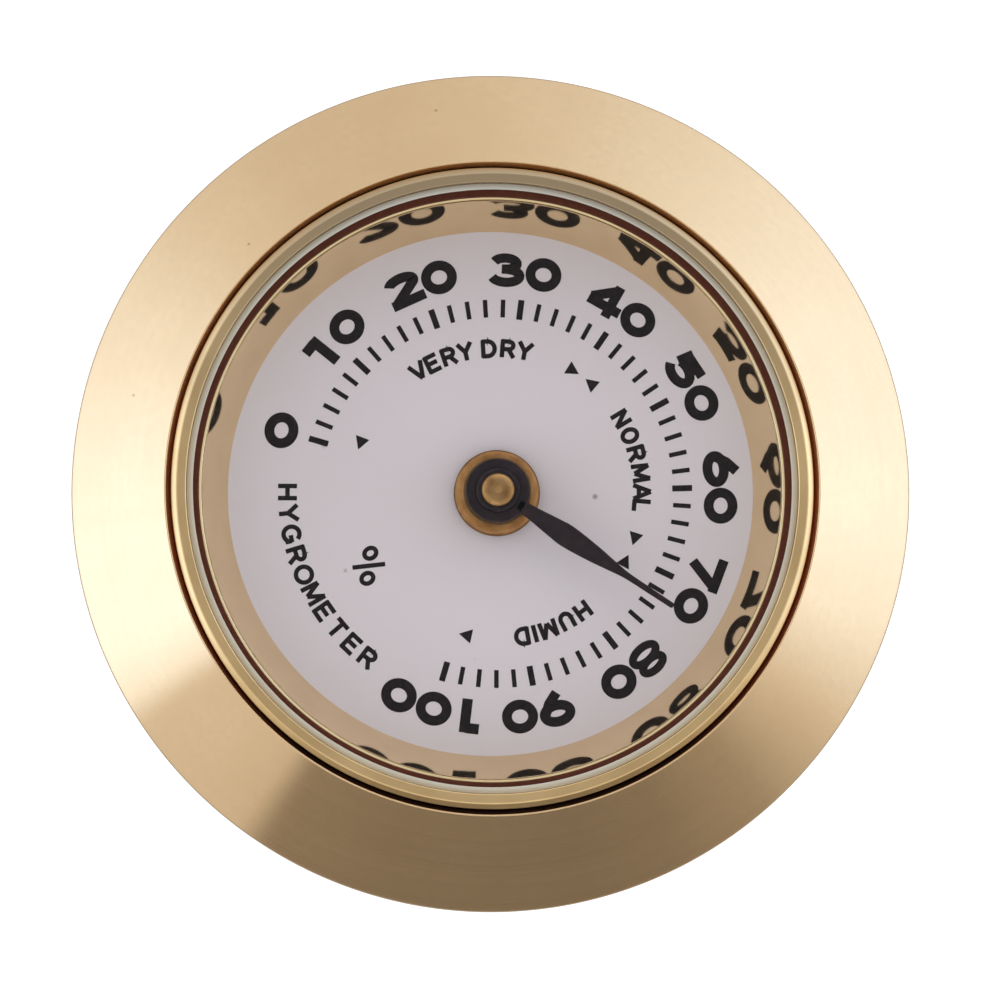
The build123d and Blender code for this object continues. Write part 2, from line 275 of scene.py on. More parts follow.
class Nodes:
    """A small builder for the node tree of a material or a world."""

    def __init__(self, owner):
        owner.use_nodes = True
        self.owner = owner
        self.tree = owner.node_tree
        self.shader = self.tree.nodes.get("Principled BSDF")

    def add(self, kind, **properties):
        """A new node with these properties."""
        node = self.tree.nodes.new(kind)
        for name, value in properties.items():
            setattr(node, name, value)
        return node

    def link(self, start, end):
        self.tree.links.new(start, end)

    def feed(self, socket, value):
        """Gives an input a plain value, a colour, or another node's output."""
        if isinstance(value, bpy.types.NodeSocket):
            self.link(value, socket)
        elif socket.type == "RGBA":
            socket.default_value = (*value, 1)
        else:
            socket.default_value = value

    def math(self, operation, *values):
        node = self.add("ShaderNodeMath", operation=operation)
        for socket, value in zip(node.inputs, values):
            self.feed(socket, value)
        return node.outputs[0]

    def vector_math(self, operation, *values):
        """The outputs of a vector calculation, of which some are vectors and some are numbers."""
        node = self.add("ShaderNodeVectorMath", operation=operation)
        for socket, value in zip(node.inputs, values):
            self.feed(socket, value)
        return node.outputs

    def map_range(self, value, source, target=(0.0, 1.0), interpolation="LINEAR"):
        """The value taken from the source range to the target range, and held inside it."""
        node = self.add("ShaderNodeMapRange", interpolation_type=interpolation)
        self.feed(node.inputs["Value"], value)
        node.inputs["From Min"].default_value, node.inputs["From Max"].default_value = source
        node.inputs["To Min"].default_value, node.inputs["To Max"].default_value = target
        return node.outputs["Result"]

    def split(self, vector):
        """The parts of a vector."""
        node = self.add("ShaderNodeSeparateXYZ")
        self.link(vector, node.inputs[0])
        return node.outputs

    def set(self, **values):
        """Sets plain values on the shader's own sockets."""
        for name, value in values.items():
            self.shader.inputs[name.replace("_", " ")].default_value = value

    def position(self):
        """Coordinates in metres, in the object's own frame."""
        return self.add("ShaderNodeTexCoord").outputs["Object"]

    def radius(self, axis=(0, 0)):
        """Distance from a vertical axis."""
        return self.split(self.radius_and_height(axis))["X"]

    def radius_and_height(self, axis=(0, 0)):
        """Distance from a vertical axis, and the height, as a vector with no angle in it."""
        centre = (axis[0] * MM, axis[1] * MM, 0)
        shifted = self.split(self.vector_math("SUBTRACT", self.position(), centre)[0])
        flat = self.add("ShaderNodeCombineXYZ")
        self.link(shifted["X"], flat.inputs["X"])
        self.link(shifted["Y"], flat.inputs["Y"])
        both = self.add("ShaderNodeCombineXYZ")
        self.link(self.vector_math("LENGTH", flat.outputs[0])["Value"], both.inputs["X"])
        self.link(shifted["Z"], both.inputs["Y"])
        return both.outputs[0]

    def lowest_side(self, reach):
        """From 0 on the highest side of a piece of this radius, in its picture, to 1 on the lowest."""
        down = Vector((sin(radians(PHOTO_ROLL)), -cos(radians(PHOTO_ROLL)), 0))
        along = self.vector_math("DOT_PRODUCT", self.position(), down / (2 * reach * MM))
        return self.math("ADD", along["Value"], 0.5)

    def noise(self, coordinates, per_mm, detail=3.0, roughness=0.5):
        """Noise with about this many features in a millimetre."""
        node = self.add("ShaderNodeTexNoise")
        node.inputs["Scale"].default_value = per_mm / MM
        node.inputs["Detail"].default_value = detail
        node.inputs["Roughness"].default_value = roughness
        self.link(coordinates, node.inputs["Vector"])
        return node.outputs["Fac"]

    def ramp(self, factor, *stops):
        """A colour ramp of (position, colour) stops. A number stands for a grey."""
        node = self.add("ShaderNodeValToRGB")
        elements = node.color_ramp.elements
        while len(elements) < len(stops):
            elements.new(0.5)
        while len(elements) > len(stops):
            elements.remove(elements[-1])
        for element, (position, colour) in zip(elements, stops):
            element.position = position
            element.color = (*colour, 1) if isinstance(colour, tuple) else (colour, colour, colour, 1)
        self.link(factor, node.inputs["Fac"])
        return node.outputs["Color"]

    def mix(self, factor, first, second):
        """Colour mix. Each side is a socket or a colour, and the factor a socket."""
        node = self.add("ShaderNodeMix", data_type="RGBA")
        self.link(factor, node.inputs[0])
        self.feed(node.inputs[6], first)
        self.feed(node.inputs[7], second)
        return node.outputs[2]

    def colour(self, value):
        """Sets the shader's base colour to a socket's."""
        self.link(value, self.shader.inputs["Base Color"])

    def colour_now(self):
        """The socket that the shader's base colour comes from."""
        return self.shader.inputs["Base Color"].links[0].from_socket

    def specks(self, per_mm, inner, outer):
        """Round specks, 1 inside and 0 outside, with about this many cells in a millimetre."""
        cells = self.add("ShaderNodeTexVoronoi")
        cells.inputs["Scale"].default_value = per_mm / MM
        self.link(self.position(), cells.inputs["Vector"])
        return self.ramp(cells.outputs["Distance"], (inner, 1.0), (outer, 0.0))

    def to_roughness(self, factor, low, high):
        """Drives roughness from a grey between two values."""
        self.link(self.map_range(factor, (0, 1), (low, high)), self.shader.inputs["Roughness"])

    def bump(self, height, depth):
        """Bump of this depth in millimetres."""
        node = self.add("ShaderNodeBump")
        node.inputs["Strength"].default_value = 1
        node.inputs["Distance"].default_value = depth * MM
        self.link(height, node.inputs["Height"])
        self.link(node.outputs["Normal"], self.shader.inputs["Normal"])


def new_nodes(name):
    """The builder for a new material."""
    return Nodes(bpy.data.materials.new(name))


def turned_metal(name, colour, stain, roughness, anisotropy, axis=(0, 0), rings=9.0, patches_per_mm=0.35):
    """Metal turned on a lathe: fine rings, a little tarnish, and a highlight spread across them."""
    n = new_nodes(name)
    across = n.radius_and_height(axis)
    grooves = n.noise(across, rings, detail=4.0, roughness=0.7)
    patches = n.noise(n.position(), patches_per_mm, detail=4.0)
    n.colour(n.mix(n.ramp(patches, (0.35, 0.0), (0.75, 1.0)), colour, stain))
    n.set(Metallic=1.0, Anisotropic=anisotropy)
    n.shader.inputs["Anisotropic Rotation"].default_value = 0.25
    tangent = n.add("ShaderNodeTangent", direction_type="RADIAL", axis="Z")
    n.link(tangent.outputs[0], n.shader.inputs["Tangent"])
    n.to_roughness(grooves, roughness * 0.85, roughness * 1.15)
    n.bump(grooves, GROOVE_DEPTH)
    return n.owner


def satin_gold():
    """The bezel's finish, with dark grime and painted shade in the groove round the retaining ring."""
    n = Nodes(turned_metal("satin_gold", (0.935, 0.66, 0.38), (0.905, 0.63, 0.355), 0.2, 0.97))
    fine = n.noise(n.position(), 2.6, detail=5.0, roughness=0.65)
    satin = n.mix(n.ramp(fine, (0.4, 0.0), (0.75, 1.0)), n.colour_now(), (0.89, 0.628, 0.36))
    pitted = n.mix(n.specks(0.3, 0.012, 0.03), satin, (0.60, 0.40, 0.22))
    side = n.lowest_side(RIM_RADIUS)
    reach = n.map_range(side, (0, 1), ((RIM_RADIUS - GRIME_AND_SHADE_TOP_GAP) * MM, RIM_RADIUS * MM))
    ragged = n.math("MULTIPLY_ADD", n.noise(n.position(), 1.5, detail=4.0), -GRIME_AND_SHADE_RAGGED * MM, reach)
    inside = n.math("LESS_THAN", n.radius(), ragged)
    # Painted shade: the groove's colour goes from brown on the highest side to near black on the lowest,
    # where the crevice lies in shadow.
    grime_and_shade = n.ramp(side, (0.05, (0.09, 0.04, 0.02)), (0.35, (0.25, 0.06, 0.02)), (0.6, (0.28, 0.055, 0.018)),
                   (0.9, (0.02, 0.007, 0.004)))
    n.colour(n.mix(inside, pitted, grime_and_shade))
    n.link(n.math("SUBTRACT", 1, inside), n.shader.inputs["Metallic"])
    return n.owner


def ring_gold():
    """The ring's finish, with painted shade: darker and browner on its highest side."""
    n = Nodes(turned_metal("ring_gold", (0.93, 0.66, 0.33), (0.75, 0.51, 0.24), 0.32, 0.3, rings=14.0))
    # Painted shade: the ring's highest side is mixed towards a dull brown.
    high_side_shade = n.ramp(n.lowest_side(RIM_RADIUS), (0.08, 1.0), (0.45, 0.0))
    n.colour(n.mix(high_side_shade, n.colour_now(), (0.56, 0.42, 0.26)))
    return n.owner


def mirror_gold():
    """Polished reflector with faint blotches."""
    n = new_nodes("mirror_gold")
    blotches = n.noise(n.position(), 0.6, detail=5.0)
    n.colour(n.mix(n.ramp(blotches, (0.4, 0.0), (0.8, 1.0)), (0.885, 0.675, 0.385), (0.82, 0.61, 0.335)))
    n.set(Metallic=1.0)
    n.to_roughness(blotches, 0.03, 0.09)
    return n.owner


def aged_brass(name, axis=(0, 0), bands=((0.0, 1.0),), reach=1.0):
    """Brass with dirt and painted shade in its corners. Each band is (share of the reach from the axis,
    cleanness).
    """
    colour, stain = (0.84, 0.49, 0.20), (0.42, 0.19, 0.06)
    n = Nodes(turned_metal(name, colour, stain, 0.38, 0.4, axis, rings=12.0, patches_per_mm=1.6))
    clean_and_lit = n.ramp(n.map_range(n.radius(axis), (0, reach * MM)), *bands)
    # Dirt and painted shade: low cleanness mixes the brass towards a near-black brown.
    n.colour(n.mix(clean_and_lit, (0.07, 0.025, 0.01), n.colour_now()))
    return n.owner


def rolled_steel(name, colour):
    """Strip metal with fine rolling lines along it."""
    n = new_nodes(name)
    stretched = n.add("ShaderNodeMapping")
    stretched.inputs["Scale"].default_value = (0.2, 1.0, 3.0)
    n.link(n.position(), stretched.inputs["Vector"])
    lines = n.noise(stretched.outputs[0], 9.0, detail=4.0)
    darker = tuple(0.7 * c for c in colour)
    n.colour(n.mix(lines, colour, darker))
    n.set(Metallic=1.0)
    n.to_roughness(lines, 0.28, 0.45)
    n.bump(lines, 0.0006)
    return n.owner


def black_plastic():
    """Moulded plastic with a fine spark-eroded texture."""
    n = new_nodes("case_plastic")
    grain = n.noise(n.position(), 6.0, detail=3.0)
    smudge = n.noise(n.position(), 0.25, detail=3.0)
    n.colour(n.mix(smudge, (0.018, 0.018, 0.019), (0.034, 0.033, 0.032)))
    n.to_roughness(smudge, 0.38, 0.55)
    n.bump(grain, 0.006)
    return n.owner


def dial_enamel():
    """Off-white paint with a faint orange peel and a few dark specks."""
    n = new_nodes("dial_enamel")
    cloud = n.noise(n.position(), 0.12, detail=4.0)
    paint = n.mix(n.ramp(cloud, (0.3, 0.0), (0.7, 1.0)), (0.86, 0.765, 0.80), (0.88, 0.785, 0.82))
    n.colour(n.mix(n.specks(0.35, 0.035, 0.06), paint, (0.42, 0.34, 0.33)))
    n.to_roughness(cloud, 0.42, 0.55)
    n.bump(n.noise(n.position(), 3.0), 0.003)
    return n.owner


def dial_ink():
    """Screen-printed black, thin in places."""
    n = new_nodes("dial_ink")
    mottle = n.noise(n.position(), 5.0, detail=4.0)
    n.colour(n.mix(n.ramp(mottle, (0.45, 0.0), (0.8, 1.0)), (0.011, 0.006, 0.008), (0.028, 0.018, 0.021)))
    n.set(Specular_IOR_Level=0.15)
    n.to_roughness(mottle, 0.45, 0.6)
    n.bump(mottle, 0.002)
    return n.owner


def pointer_paint():
    """Black paint with a plum cast, worn a little."""
    n = new_nodes("pointer_paint")
    wear = n.noise(n.position(), 2.2, detail=5.0)
    n.colour(n.mix(n.ramp(wear, (0.5, 0.0), (0.8, 1.0)), (0.016, 0.007, 0.011), (0.04, 0.02, 0.025)))
    n.set(Specular_IOR_Level=0.3)
    n.to_roughness(wear, 0.28, 0.42)
    n.bump(n.noise(n.position(), 8.0), 0.001)
    return n.owner


def gasket_rubber():
    n = new_nodes("gasket_rubber")
    grain = n.noise(n.position(), 5.0)
    n.colour(n.mix(grain, (0.11, 0.022, 0.008), (0.17, 0.045, 0.02)))
    n.set(Specular_IOR_Level=0.15)
    n.to_roughness(grain, 0.5, 0.7)
    n.bump(grain, 0.004)
    return n.owner


def glass(name, colour, rough_low, rough_high, per_mm, clearness=1.0):
    """Glass that lets lamps through to what is behind it. Less clear, it is milky."""
    n = new_nodes(name)
    smear = n.noise(n.position(), per_mm)
    n.shader.inputs["Base Color"].default_value = (*colour, 1)
    n.shader.inputs["Transmission Weight"].default_value = clearness
    n.shader.inputs["IOR"].default_value = 1.5
    n.to_roughness(smear, rough_low, rough_high)
    clear = n.add("ShaderNodeBsdfTransparent")
    path = n.add("ShaderNodeLightPath")
    either = n.math("MAXIMUM", path.outputs["Is Shadow Ray"], path.outputs["Is Diffuse Ray"])
    choose = n.add("ShaderNodeMixShader")
    n.link(either, choose.inputs["Fac"])
    n.link(n.shader.outputs[0], choose.inputs[1])
    n.link(clear.outputs[0], choose.inputs[2])
    n.link(choose.outputs[0], n.tree.nodes["Material Output"].inputs["Surface"])
    return n.owner


# ---------------------------------------------------------------- dial print

# Each glyph is a list of strokes. A stroke is a list of points in a box 1 wide and 1 high.


def arc(x, y, rx, ry, start, end, steps=18):
    """Points on an ellipse between two angles in degrees."""
    angles = [radians(start + (end - start) * i / steps) for i in range(steps + 1)]
    return [(x + rx * cos(a), y + ry * sin(a)) for a in angles]


def ring(x, y, rx, ry):
    return arc(x, y, rx, ry, 0, 360, 36)


def stroke_of(digit):
    return NUMERAL_STROKES.get(digit, NUMERAL_STROKE)


def digit_glyph(digit):
    """A bold, wide figure. Strokes run down the middle of each limb."""
    edge_x = stroke_of(digit) / NUMERAL_WIDTH / 2
    edge_y = stroke_of(digit) / NUMERAL_HEIGHT / 2
    left, right, low, high = edge_x, 1 - edge_x, edge_y, 1 - edge_y
    bowl = low + (0.63 - low) / 2
    stem = [(left + 0.02, bowl + 0.02), (0.34, 0.72), (0.62, 0.99)]
    six = [ring(0.5, bowl, 0.5 - edge_x, bowl - low), stem]
    hook = arc(0.5, 0.70, 0.5 - edge_x, high - 0.70, 175, -40)
    waist = 0.53
    crown, belly = (high - waist) / 2, (waist - low) / 2
    return {
        "0": [ring(0.5, 0.5, 0.5 - edge_x, 0.5 - edge_y)],
        "1": [[(0.62, 0), (0.62, 1)], [(0.22, 0.86), (0.6, 0.86)]],
        "2": [hook + [(left + 0.02, low + 0.02)], [(0.02, low), (1, low)]],
        "3": [arc(0.46, waist + crown, 0.45 - edge_x, crown, 165, -90) + [(0.36, waist)],
              [(0.36, waist)] + arc(0.48, waist - belly, 0.52 - edge_x, belly, 90, -165)],
        "4": [[(0.66, high), (left - 0.06, 0.36)], [(0.02, 0.29), (1, 0.29)], [(0.68, 0), (0.68, 1)]],
        "5": [[(0.26, high), (0.92, high)], [(0.28, 1), (0.2, 0.52)],
              arc(0.47, bowl, 0.5 - edge_x, bowl - low, 130, -160)],
        "6": six,
        "7": [[(0.02, high), (0.98, high)], [(0.84, high), (0.34, 0)]],
        "8": [ring(0.5, waist + crown, 0.45 - edge_x, crown), ring(0.5, waist - belly, 0.5 - edge_x, belly)],
        "9": [[(1 - x, 1 - y) for x, y in stroke] for stroke in six],
    }[digit]


LETTER_GLYPHS = {
    "A": [[(0, 0), (0.5, 1)], [(0.5, 1), (1, 0)], [(0.2, 0.32), (0.8, 0.32)]],
    "D": [[(0.08, 0), (0.08, 1)],
          [(0, 0.92), (0.4, 0.92)] + arc(0.4, 0.5, 0.52, 0.42, 90, -90) + [(0, 0.08)]],
    "E": [[(0.1, 0), (0.1, 1)], [(0, 0.92), (0.95, 0.92)], [(0, 0.52), (0.85, 0.52)],
          [(0, 0.08), (0.95, 0.08)]],
    "G": [arc(0.5, 0.5, 0.42, 0.42, 40, 325), [(0.55, 0.45), (0.95, 0.45)], [(0.88, 0.45), (0.88, 0.1)]],
    "H": [[(0.1, 0), (0.1, 1)], [(0.9, 0), (0.9, 1)], [(0.1, 0.5), (0.9, 0.5)]],
    "I": [[(0.5, 0), (0.5, 1)]],
    "L": [[(0.15, 0), (0.15, 1)], [(0.05, 0.08), (0.9, 0.08)]],
    "M": [[(0.05, 0), (0.08, 1)], [(0.08, 1), (0.5, 0.15)], [(0.5, 0.15), (0.92, 1)],
          [(0.92, 1), (0.95, 0)]],
    "N": [[(0.1, 0), (0.1, 1)], [(0.1, 0.98), (0.9, 0.02)], [(0.9, 0), (0.9, 1)]],
    "O": [ring(0.5, 0.5, 0.44, 0.42)],
    "R": [[(0.1, 0), (0.1, 1)],
          [(0, 0.92), (0.55, 0.92)] + arc(0.55, 0.7, 0.33, 0.22, 90, -90) + [(0.05, 0.48)],
          [(0.55, 0.48), (0.95, 0)]],
    "T": [[(0.5, 0), (0.5, 1)], [(0, 0.92), (1, 0.92)]],
    "U": [[(0.1, 1), (0.1, 0.42)] + arc(0.5, 0.42, 0.4, 0.34, 180, 360) + [(0.9, 1)]],
    "V": [[(0, 1), (0.5, 0.03)], [(0.5, 0.03), (1, 1)]],
    "Y": [[(0, 1), (0.5, 0.48)], [(1, 1), (0.5, 0.48)], [(0.5, 0.5), (0.5, 0)]],
    "%": [ring(0.2, 0.83, 0.15, 0.27), ring(0.8, 0.17, 0.15, 0.27), [(0.31, -0.17), (0.69, 1.17)]],
}


class Print:
    """Collects printed shapes as thin solid prisms on the dial's face."""

    def __init__(self):
        self.vertices, self.faces = [], []

    def prism(self, outline):
        """A flat convex shape of (x, y) points, as thick as the ink."""
        first, count = len(self.vertices), len(outline)
        for height in (dial_high.z, dial_high.z + INK):
            self.vertices += [(MOVEMENT.x + x, MOVEMENT.y + y, height) for x, y in outline]
        self.faces.append(tuple(range(first + count, first + 2 * count)))
        self.faces.append(tuple(range(first + count - 1, first - 1, -1)))
        for i in range(count):
            j = (i + 1) % count
            self.faces.append((first + i, first + j, first + count + j, first + count + i))

    def stroke(self, points, width, layer=0):
        """A ribbon of constant width along the points. A path that ends where it starts is a loop."""
        top = dial_high.z + INK + layer * INK_LAYER
        path = [Vector(p) for p in points]
        loop = (path[0] - path[-1]).length < 1e-6
        if loop:
            path.pop()
        sides = []
        for i, here in enumerate(path):
            back = path[i - 1] if i or loop else None
            ahead = path[(i + 1) % len(path)] if i + 1 < len(path) or loop else None
            way_in = (here - back).normalized() if back else (ahead - here).normalized()
            way_out = (ahead - here).normalized() if ahead else way_in
            across = (way_in + way_out).normalized().orthogonal()
            miter = width / 2 / max(0.5, across.dot(way_in.orthogonal()))
            sides.append((here + across * miter, here - across * miter))
        pairs = list(zip(sides, sides[1:] + sides[:1]))
        if not loop:
            pairs.pop()
        first = len(self.vertices)
        for left, right in sides:
            for height in (dial_high.z, top):
                for side in (left, right):
                    self.vertices.append((MOVEMENT.x + side.x, MOVEMENT.y + side.y, height))
        count = len(sides)
        for i in range(len(pairs)):
            a, b = first + 4 * i, first + 4 * ((i + 1) % count)
            self.faces += [(a, a + 1, b + 1, b), (a + 3, a + 2, b + 2, b + 3)]
            self.faces += [(a, b, b + 2, a + 2), (a + 1, a + 3, b + 3, b + 1)]
        if not loop:
            last = first + 4 * (count - 1)
            self.faces += [(first, first + 2, first + 3, first + 1), (last, last + 1, last + 3, last + 2)]

    def glyph(self, strokes, angle, ring_radius, size, width, tops_out=True):
        """A glyph centred on a ring at an angle, with its top pointing out or in."""
        outward = Vector((cos(radians(angle)), sin(radians(angle))))
        up = outward if tops_out else -outward
        right = Vector((up.y, -up.x))
        centre = outward * ring_radius
        for layer, points in enumerate(strokes):
            placed = [centre + right * (x - 0.5) * size[0] + up * (y - 0.5) * size[1] for x, y in points]
            self.stroke(placed, width, layer)

    def finish(self, name, material):
        return dress(finished_mesh(name, self.vertices, self.faces), material, "case")


def scale_angle(percent):
    """Where a reading stands on the dial."""
    return 90 - (percent - PERCENT_AT_TOP) * DEGREES_PER_PERCENT


def print_ticks(ink):
    marks = Print()
    for percent in range(0, 101, TICK_STEP):
        length, width = BOLD_TICK if percent % 10 == 0 else THIN_TICK
        outward = Vector((cos(radians(scale_angle(percent))), sin(radians(scale_angle(percent)))))
        marks.stroke([outward * (TICK_RING - length / 2), outward * (TICK_RING + length / 2)], width)
    return marks.finish("dial_ticks", ink)


def print_numerals(ink):
    figures = Print()
    for percent in range(0, 101, 10):
        text = str(percent)
        for place, digit in enumerate(text):
            angle = scale_angle(percent) + ((len(text) - 1) / 2 - place) * NUMERAL_PITCH
            size = (NUMERAL_WIDTH, NUMERAL_HEIGHT)
            figures.glyph(digit_glyph(digit), angle, NUMERAL_RING, size, stroke_of(digit))
    return figures.finish("dial_numerals", ink)


# The zones, as (words, reading at their middle, readings of the arrows before and after them)
ZONES = (
    ("VERY DRY", 23.3, 1.5, 39.0),
    ("NORMAL", 55.5, 42.3, 67.3),
    ("HUMID", 85.4, 70.9, 98.5),
)


def letter_angles(words, middle):
    """The letters with the angle of each, set side by side round the middle."""
    rooms = [LETTER_ROOM * ROOM_SHARES.get(letter, 1) for letter in words]
    edge = middle + sum(rooms) / 2
    placed = []
    for letter, room in zip(words, rooms):
        if letter != " ":
            placed.append((letter, edge - room / 2))
        edge -= room
    return placed


def print_words(ink):
    words = Print()
    for text, middle, _, _ in ZONES:
        for letter, angle in letter_angles(text, scale_angle(middle)):
            size = (ZONE_HEIGHT * (0.9 if letter == "M" else 0.78), ZONE_HEIGHT)
            words.glyph(LETTER_GLYPHS[letter], angle, ZONE_RING, size, ZONE_STROKE)
    for place, letter in enumerate("HYGROMETER"):
        size = (TITLE_HEIGHT * (0.95 if letter in "MGO" else 0.8), TITLE_HEIGHT)
        angle = TITLE_START + place * TITLE_PITCH
        words.glyph(LETTER_GLYPHS[letter], angle, TITLE_RING, size, TITLE_STROKE, tops_out=False)
    percent_sign = LETTER_GLYPHS["%"]
    words.glyph(percent_sign, PERCENT_SIGN_ANGLE, PERCENT_SIGN_RING, PERCENT_SIGN_SIZE, TITLE_STROKE, False)
    for _, _, before, after in ZONES:
        for percent, way in ((before, -1), (after, 1)):
            angle = radians(scale_angle(percent))
            outward = Vector((cos(angle), sin(angle)))
            along = Vector((sin(angle), -cos(angle))) * way
            centre = outward * ARROW_RING
            tip = centre + along * ARROW_SIDE * 0.5
            tail = centre - along * ARROW_SIDE * 0.4
            words.prism([tip, tail + outward * ARROW_SIDE / 2, tail - outward * ARROW_SIDE / 2])
    return words.finish("dial_words", ink)


# ---------------------------------------------------------------- pieces


def make_bezel():
    """Flange, cone, rim and the sleeve behind them."""
    low, high, outer = bezel_low.z, bezel_high.z, bezel_high.x
    shoulder, neck = case_high.z, case_high.x
    corners = (
        (LEDGE_RADIUS, low), (SLEEVE_RADIUS, low), (SLEEVE_RADIUS, shoulder), (neck, shoulder),
        (neck, FLANGE_SEAT), (outer, FLANGE_SEAT), (outer, FLANGE_EDGE_TOP), (RIM_RADIUS, high),
        (BEZEL_BORE, high - MOUTH_DEPTH), (BEZEL_BORE, dial_low.z), (LEDGE_RADIUS, dial_low.z),
    )
    radii = (0, 0, 0, 0, 0, EDGE_ROUND, EDGE_ROUND, SMALL_ROUND, SMALL_ROUND, 0, 0)
    return dress(lathe("bezel_shell", rounded(corners, radii)), satin_gold(), "case", "bezel")


def make_ring():
    """The bevelled ring over the edge of the glass."""
    inner, low = LENS_SHOULDER_RADIUS + RING_CLEARANCE, ring_low.z
    outer, top = ring_high.x, ring_high.z
    width, drop = RING_BEVEL
    corners = ((inner, low), (outer, low), (outer, top - drop), (outer - width, top), (inner, top))
    outline = rounded(corners, (0, 0, SMALL_ROUND, RING_ROUND, SMALL_ROUND), steps=8)
    return dress(lathe("retaining_bead", outline), ring_gold(), "case", "retaining_ring")


def make_lens():
    """Flat glass. Its bevel is ground, and the rest is polished."""
    corners = (
        (0, lens_low.z), (lens_high.x, lens_low.z), (lens_high.x, LENS_SHOULDER),
        (LENS_SHOULDER_RADIUS, LENS_SHOULDER), (LENS_SHOULDER_RADIUS, LENS_BEVEL_BOTTOM),
        (LENS_FACE_RADIUS, lens_high.z), (0, lens_high.z),
    )
    lens = lathe("lens_glass", corners, sharp=10)
    dress(lens, glass("lens_glass", (0.97, 0.985, 0.975), 0.0, 0.02, 0.2), "case", "lens")
    lens.data.materials.append(glass("lens_ground", (0.80, 0.78, 0.68), 0.35, 0.6, 8.0, 0.15))
    for face in lens.data.polygons:
        middle = hypot(face.center.x, face.center.y) / MM
        slanted = 0.2 < face.normal.z < 0.98
        if slanted and middle > LENS_FACE_RADIUS - 0.1:
            face.material_index = 1
    return lens


def make_gasket():
    """The flat seal under the edge of the glass."""
    inner, outer = gasket_inner(), gasket_high.x
    low, top = gasket_low.z, gasket_high.z
    corners = ((inner, low), (outer, low), (outer, top), (inner, top))
    outline = rounded(corners, (SMALL_ROUND, 0, 0, SMALL_ROUND))
    return dress(lathe("gasket_seal", outline), gasket_rubber(), "case", "lens_gasket")


def gasket_inner():
    """The gasket's inner radius, read from its CAD node."""
    return min(hypot(v.co.x, v.co.y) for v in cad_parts["lens_gasket"].data.vertices) / MM


def make_reflector():
    """Conical mirror wall with a softly rolled lip."""
    bottom, top, outer = reflector_low.z, reflector_high.z, reflector_high.x
    under_lip = top - REFLECTOR_WALL
    corners = (
        (REFLECTOR_BOTTOM_RADIUS, bottom), (REFLECTOR_BOTTOM_RADIUS + REFLECTOR_WALL, bottom),
        (REFLECTOR_TOP_RADIUS + REFLECTOR_WALL, under_lip), (outer, under_lip), (outer, top),
        (REFLECTOR_TOP_RADIUS, top),
    )
    outline = rounded(corners, (0, 0, 0, SMALL_ROUND, SMALL_ROUND, LIP_ROUND))
    return dress(lathe("reflector_wall", outline), mirror_gold(), "case", "reflector_ring")


def smooth_line(points, parts):
    """A Catmull-Rom line through the points, with this many parts between two of them."""
    padded = [points[0], *points, points[-1]]
    line = []
    for before, start, end, after in zip(padded, padded[1:], padded[2:], padded[3:]):
        for i in range(parts):
            t = i / parts
            line.append(tuple(catmull_rom(t, *values) for values in zip(before, start, end, after)))
    return line + [points[-1]]


def catmull_rom(t, before, start, end, after):
    slope_in, slope_out = (end - before) / 2, (after - start) / 2
    curve = 2 * start - 2 * end + slope_in + slope_out
    bend = -3 * start + 3 * end - 2 * slope_in - slope_out
    return curve * t ** 3 + bend * t ** 2 + slope_in * t + start


def make_dial():
    """The painted plate, with a softened edge."""
    outer, hole = (dial_high.x - dial_low.x) / 2, SHANK_RADIUS
    corners = ((hole, dial_low.z), (outer, dial_low.z), (outer, dial_high.z), (hole, dial_high.z))
    outline = rounded(corners, (0, 0.03, 0.03, 0))
    plate = lathe("dial_face", outline, (MOVEMENT.x, MOVEMENT.y))
    return dress(plate, dial_enamel(), "case", "dial_plate")


def make_bush():
    """Brass collar with a broad chamfer and a small foot."""
    outer, bore = (bush_high.x - bush_low.x) / 2, BUSH_BORE_RADIUS
    low, top, foot = bush_low.z, bush_high.z, dial_high.z
    wall = outer - FOOT_STEP
    corners = (
        (bore, low), (SHANK_RADIUS, low), (SHANK_RADIUS, foot), (outer, foot), (outer, foot + FOOT_EDGE),
        (wall, foot + FOOT_HEIGHT), (wall, top - COLLAR_CHAMFER_DROP), (wall - COLLAR_CHAMFER_WIDTH, top),
        (bore, top),
    )
    outline = rounded(corners, (0, 0, 0, 0.02, SMALL_ROUND, SMALL_ROUND, 0.06, 0.06, 0.02))
    collar = lathe("bush_collar", outline, (MOVEMENT.x, MOVEMENT.y), HUB_SEGMENTS)
    return dress(collar, aged_brass("bush_brass", MOVEMENT, COLLAR_BANDS, outer), "case", "dial_bush")


def make_boss():
    """Stepped black hub with softened edges."""
    outer, bore = (boss_high.x - boss_low.x) / 2, (arbor_high.x - arbor_low.x) / 2
    corners = (
        (bore, boss_low.z), (outer, boss_low.z), (outer, blade_low.z),
        (BOSS_STEP_RADIUS, blade_low.z), (BOSS_STEP_RADIUS, boss_high.z), (bore, boss_high.z),
    )
    outline = rounded(corners, (0, 0.06, 0.02, 0, 0.09, 0.03))
    hub = lathe("pointer_hub", outline, (MOVEMENT.x, MOVEMENT.y), HUB_SEGMENTS)
    return dress(hub, pointer_paint(), "needle", "pointer_boss")


def make_arbor():
    """Brass pin with a crowned top and a turned centre mark."""
    radius = (arbor_high.x - arbor_low.x) / 2
    low, top = arbor_low.z, arbor_high.z
    corners = (
        (0, low), (PIVOT_RADIUS, low), (PIVOT_RADIUS, SHOULDER_HEIGHT), (radius, SHOULDER_HEIGHT),
        (radius, top - CROWN_DROP), (radius - CROWN_WIDTH, top), (CENTRE_MARK_RADIUS, top),
        (0, top - CENTRE_MARK_DEPTH),
    )
    outline = rounded(corners, (0, 0.06, 0, 0.04, 0.04, 0.06, 0.03, 0))
    pin = lathe("arbor_pin", outline, (MOVEMENT.x, MOVEMENT.y), PIN_SEGMENTS)
    return dress(pin, aged_brass("arbor_brass", MOVEMENT, PIN_BANDS, radius), "needle", "arbor")


